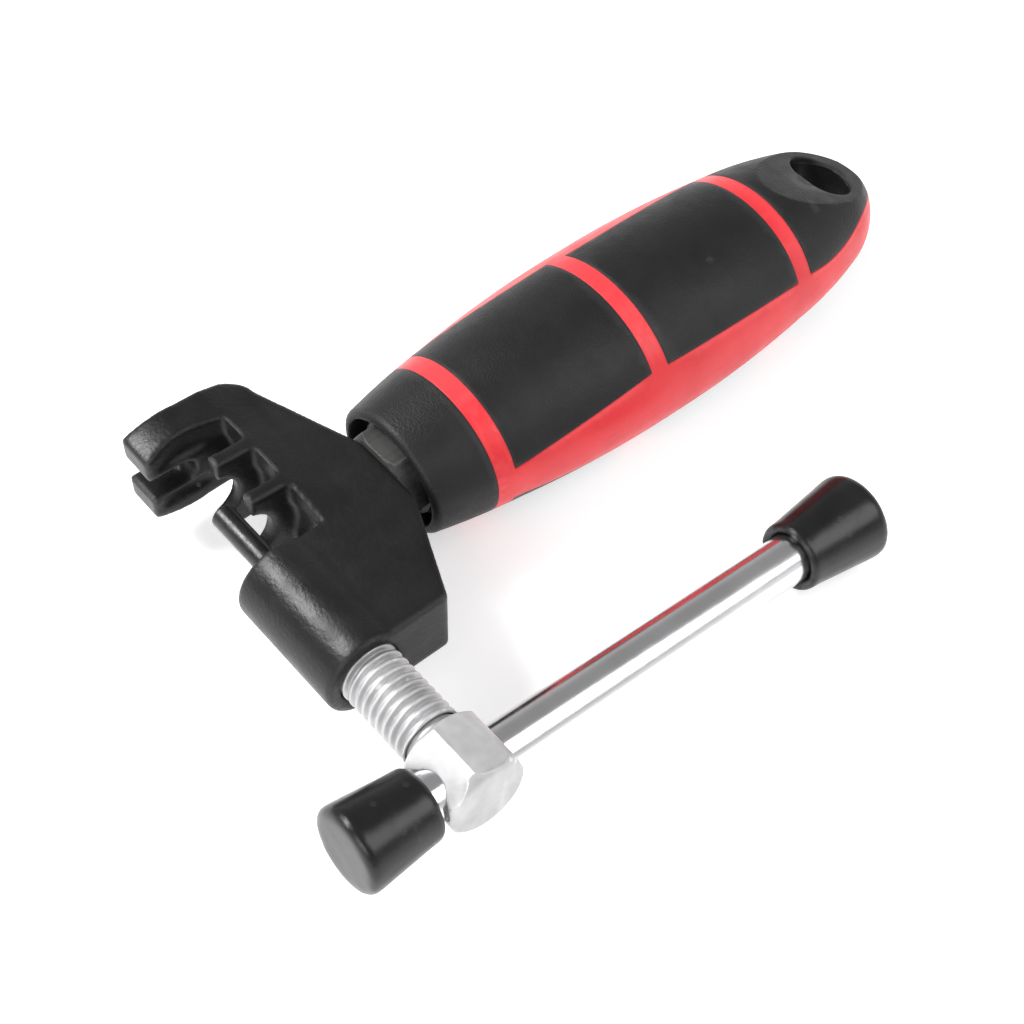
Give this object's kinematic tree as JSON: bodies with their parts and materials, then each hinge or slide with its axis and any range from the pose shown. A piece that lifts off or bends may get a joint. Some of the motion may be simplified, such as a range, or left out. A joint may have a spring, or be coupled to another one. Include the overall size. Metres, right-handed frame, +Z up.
{
  "type": "bicycle chain tool",
  "caption": "Hand chain tool: cast cradle and anvil, forcing screw with a driven pin turned by a sliding T-bar, and a soft-panelled oval handle with a hang hole.",
  "frame": {"origin": "on the forcing screw's axis, in the middle of the main cradle wall, where the chain's roller centre comes to lie", "axes": "+Z up, square to the flat of the tool; +X along the screw towards its head; +Y along the handle towards its tip"},
  "size_m": [0.0811, 0.1474, 0.0289],
  "materials": {
    "casting_paint": "satin black paint over a fine cast grain",
    "zinc_plate": "satin zinc plate",
    "black_oxide": "black oxide",
    "bright_steel": "bright turned steel",
    "bar_chrome": "polished",
    "cap_vinyl": "glossy soft vinyl",
    "insert_brass": "turned",
    "core_red": "semi-matt moulded",
    "grip_black": "fine matt grain"
  },
  "bodies": {
    "frame": {"body_casting": "casting_paint", "tang_stud": "bright_steel", "jam_nut": "black_oxide", "tang_washer": "black_oxide", "handle_insert": "insert_brass", "handle_core": "core_red", "grip_collar": "grip_black", "grip_panel_front_top": "grip_black", "grip_panel_front_under": "grip_black", "grip_panel_rear_top": "grip_black", "grip_panel_rear_under": "grip_black", "grip_panel_tip_top": "grip_black", "grip_panel_tip_under": "grip_black"},
    "pin": {"drive_pin": "black_oxide"},
    "spindle": {"spindle_screw": "zinc_plate", "thrust_ball": "bright_steel", "pin_retainer": "bright_steel"},
    "bar": {"t_bar": "bar_chrome", "t_bar_cap_near": "cap_vinyl", "t_bar_cap_far": "cap_vinyl"}
  },
  "joints": [
    {"name": "pin_advance", "type": "slide", "parent": "frame", "child": "pin", "axis": [-1, 0, 0], "range_m": [-0.006, 0.0133]},
    {"name": "spindle_turn", "type": "hinge", "parent": "pin", "child": "spindle", "pos_m": [0.047, 0, 0], "axis": [-1, 0, 0], "range_deg": [-1435, 3180]},
    {"name": "bar_slide", "type": "slide", "parent": "spindle", "child": "bar", "axis": [0, -0.9954, 0.0958], "range_m": [-0.0003, 0.0553]}
  ],
  "couplings": [
    {"joint": "pin_advance", "follows": "spindle_turn", "m_per_rad": 0.00023873}
  ]
}
